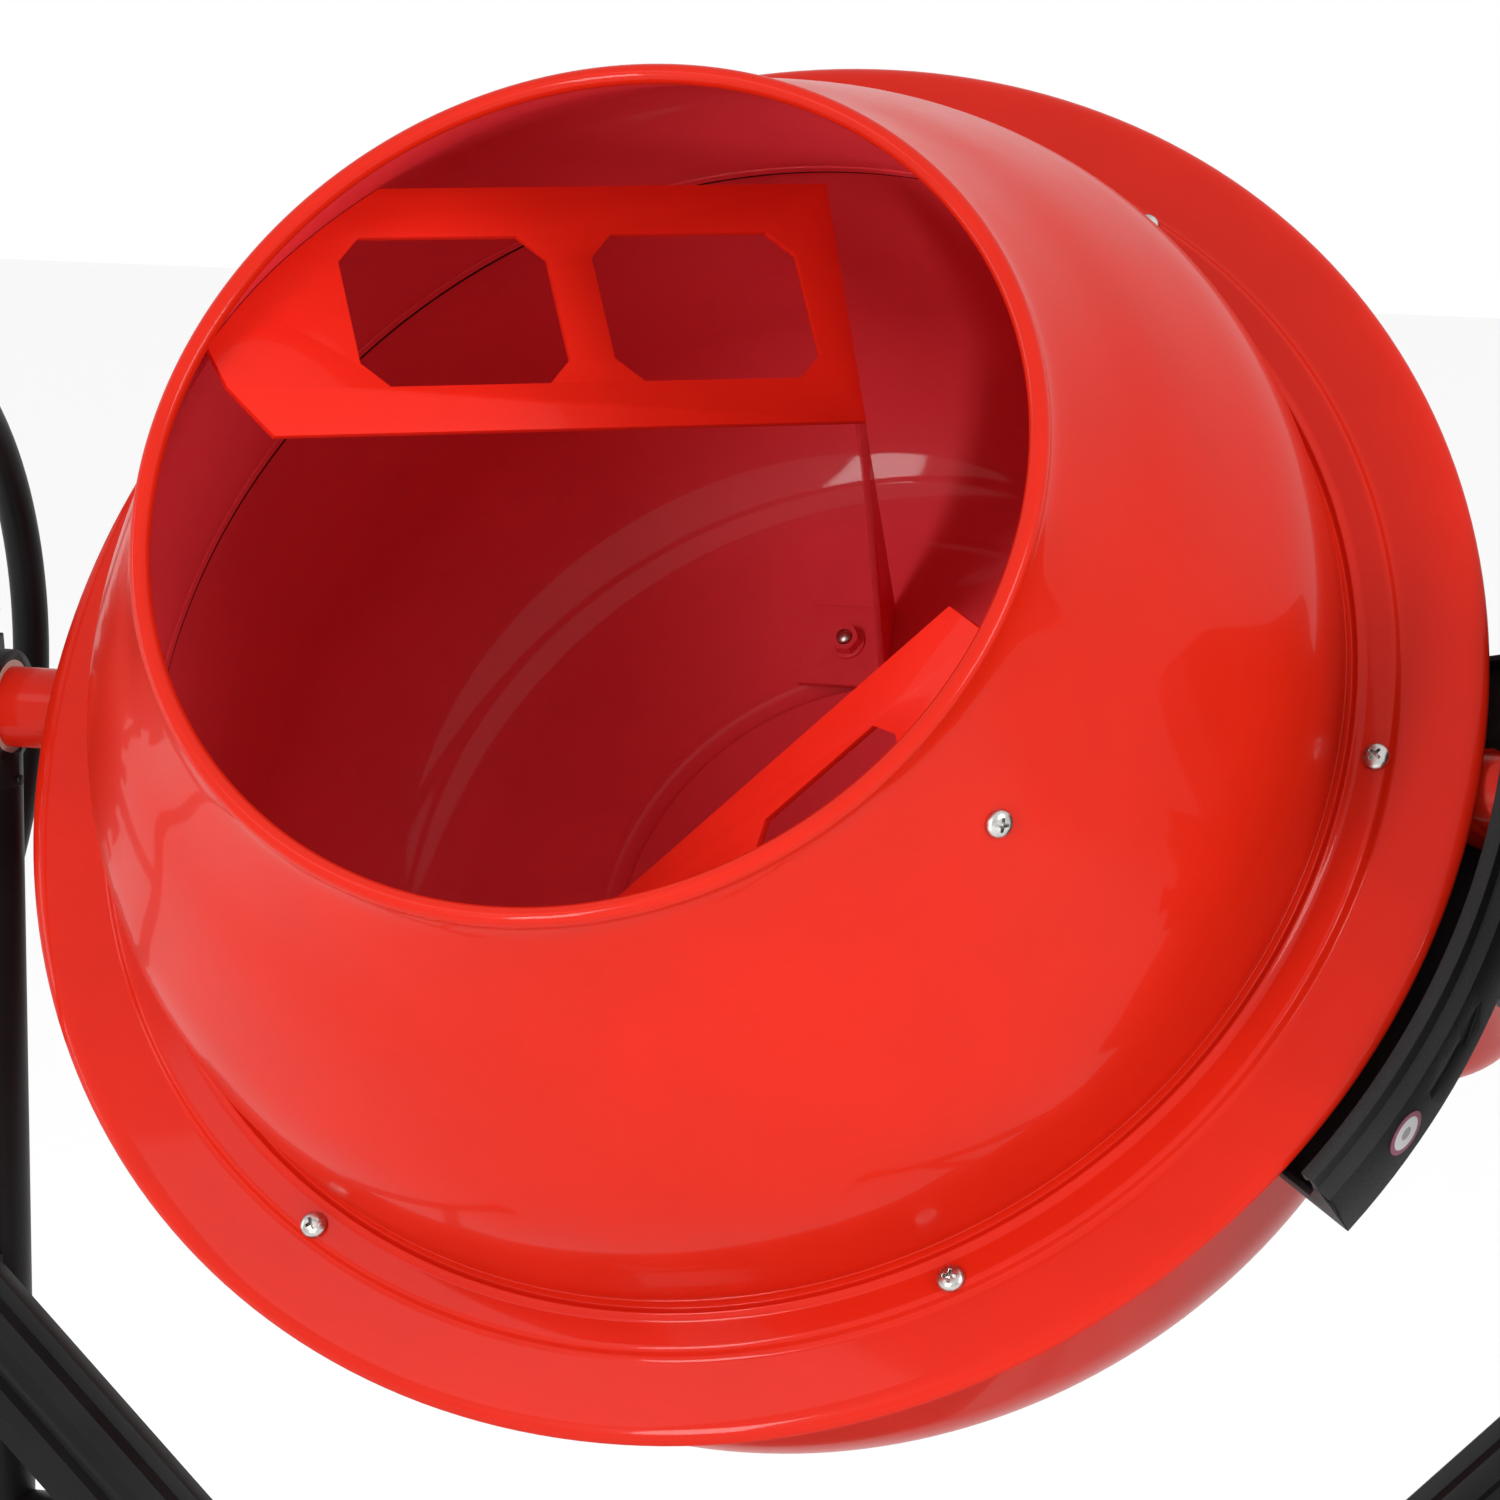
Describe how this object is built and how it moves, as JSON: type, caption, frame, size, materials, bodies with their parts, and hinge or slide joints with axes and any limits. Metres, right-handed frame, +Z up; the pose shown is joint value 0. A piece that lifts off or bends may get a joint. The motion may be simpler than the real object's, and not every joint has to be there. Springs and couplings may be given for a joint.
{
  "type": "concrete mixer",
  "caption": "Tilting-drum concrete mixer: a two-part steel drum turned by a ring gear in a tilting yoke on a tubular stand with wheels, handwheel and motor housing.",
  "frame": {"origin": "on the ground, straight below the middle of the drum's tilt axis", "axes": "+Z up, X along the tilt axis with the motor housing at +X, the drum mouth faces -Y"},
  "size_m": [1.0454, 0.7499, 1.2024],
  "materials": {
    "drum_shell": "gloss red-orange paint",
    "inner_paint": "gloss red paint, a little duller",
    "gear_iron": "dark cast iron",
    "zinc": "bright zinc plate",
    "bare_steel": "turned steel",
    "black_paint": "satin black paint",
    "black_plastic": "fine textured black plastic",
    "label": "printed film",
    "bush": "plain bearing plastic",
    "alloy": "cast aluminium",
    "housing": "textured dark grey plastic",
    "rubber": "black rubber",
    "tyre": "solid rubber",
    "rim": "red moulded plastic",
    "green": "green moulded plastic",
    "red": "red moulded plastic"
  },
  "bodies": {
    "drum": {"drum_upper_cone": "drum_shell", "drum_lower_bowl": "drum_shell", "ring_gear_segment_1": "gear_iron", "ring_gear_segment_2": "gear_iron", "ring_gear_segment_3": "gear_iron", "drum_pan_screws": "zinc", "drum_nuts": "zinc", "paddle_upper": "inner_paint", "paddle_lower": "inner_paint", "drum_hex_bolts": "zinc", "drum_base_plate": "black_paint", "drum_hub": "black_paint", "hub_bearings": "bare_steel"},
    "yoke": {"yoke_frame": "drum_shell", "drum_spindle": "bare_steel", "spindle_nuts": "zinc", "pinion_guard": "black_plastic", "guard_bracket": "black_paint", "guard_screws": "zinc", "guard_label": "label", "shaft_bushes": "bush", "tilt_lock_disc": "black_paint", "handwheel": "black_paint", "handwheel_bolt": "zinc"},
    "pinion_shaft": {"pinion": "gear_iron", "pinion_shaft": "bare_steel", "large_pulley": "alloy"},
    "motor_rotor": {"motor_rotor": "bare_steel", "motor_pulley": "alloy", "motor_fan": "black_plastic"},
    "wheel_left": {"wheel_rim_left": "rim", "wheel_tyre_left": "tyre"},
    "wheel_right": {"wheel_rim_right": "rim", "wheel_tyre_right": "tyre"},
    "lock_pin": {"tilt_lock_pin": "bare_steel"},
    "start_button": {"start_button": "green"},
    "stop_button": {"stop_button": "red"},
    "stand": {"axle_caps": "black_plastic", "base_cross_tube": "black_paint", "drive_belt": "rubber", "housing_back": "housing", "housing_cover": "housing", "housing_screws": "zinc", "mast_head_left": "black_paint", "mast_head_right": "black_paint", "mast_left": "black_paint", "mast_right": "black_paint", "motor_case": "alloy", "power_inlet": "black_plastic", "rubber_feet": "rubber", "side_frame_left": "black_paint", "side_frame_right": "black_paint", "strut_bolts": "zinc", "strut_left": "black_paint", "strut_right": "black_paint", "switch_box": "black_plastic", "tilt_bushes": "bush", "upper_cross_tube": "black_paint", "wheel_axle": "bare_steel"}
  },
  "joints": [
    {"name": "yoke_tilt", "type": "hinge", "parent": "stand", "child": "yoke", "pos_m": [0, 0, 0.88], "axis": [1, 0, 0], "range_deg": [-45, 75]},
    {"name": "drum_spin", "type": "hinge", "parent": "yoke", "child": "drum", "pos_m": [0, 0, 0.88], "axis": [0, -0.829, 0.5592], "continuous": true},
    {"name": "pinion_spin", "type": "hinge", "parent": "yoke", "child": "pinion_shaft", "pos_m": [0.31, 0, 0.88], "axis": [1, 0, 0], "continuous": true},
    {"name": "motor_spin", "type": "hinge", "parent": "stand", "child": "motor_rotor", "pos_m": [0.5, 0, 0.69], "axis": [1, 0, 0], "continuous": true},
    {"name": "wheel_spin_left", "type": "hinge", "parent": "stand", "child": "wheel_left", "pos_m": [-0.4325, 0.3, 0.1], "axis": [1, 0, 0], "continuous": true},
    {"name": "wheel_spin_right", "type": "hinge", "parent": "stand", "child": "wheel_right", "pos_m": [0.4325, 0.3, 0.1], "axis": [1, 0, 0], "continuous": true},
    {"name": "lock_pin_slide", "type": "slide", "parent": "stand", "child": "lock_pin", "axis": [0, 0, 1], "range_m": [0, 0.012]},
    {"name": "start_press", "type": "slide", "parent": "stand", "child": "start_button", "axis": [0, 1, 0], "range_m": [0, 0.004], "stiffness_N_per_m": 600},
    {"name": "stop_press", "type": "slide", "parent": "stand", "child": "stop_button", "axis": [0, 1, 0], "range_m": [0, 0.004], "stiffness_N_per_m": 600}
  ],
  "couplings": [
    {"joint": "pinion_spin", "follows": "drum_spin", "ratio": -15.273},
    {"joint": "motor_spin", "follows": "drum_spin", "ratio": -101.82}
  ]
}
